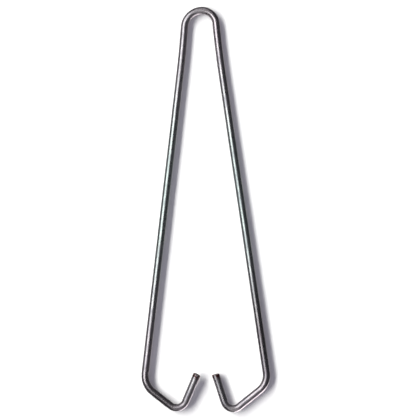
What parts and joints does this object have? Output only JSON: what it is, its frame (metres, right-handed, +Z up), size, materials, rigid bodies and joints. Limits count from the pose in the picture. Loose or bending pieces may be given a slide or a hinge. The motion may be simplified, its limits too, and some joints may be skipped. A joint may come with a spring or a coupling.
{
  "type": "cable needle",
  "caption": "Hairpin-shaped cable needle bent from one round steel wire, with a rounded bow, flaring legs and blunt hooks turned in towards each other.",
  "frame": {"origin": "middle of the part's outline seen from above, on the surface that the wire lies on", "axes": "+Y along the part's length, towards the round bow; +X across its width, towards the side with the longer foot; +Z up, out of the plane of the wire"},
  "size_m": [0.043, 0.1354, 0.0035],
  "materials": {
    "plated_steel": "satin nickel plate on drawn steel wire"
  },
  "bodies": {
    "root": {"bent_wire": "plated_steel"}
  },
  "joints": []
}
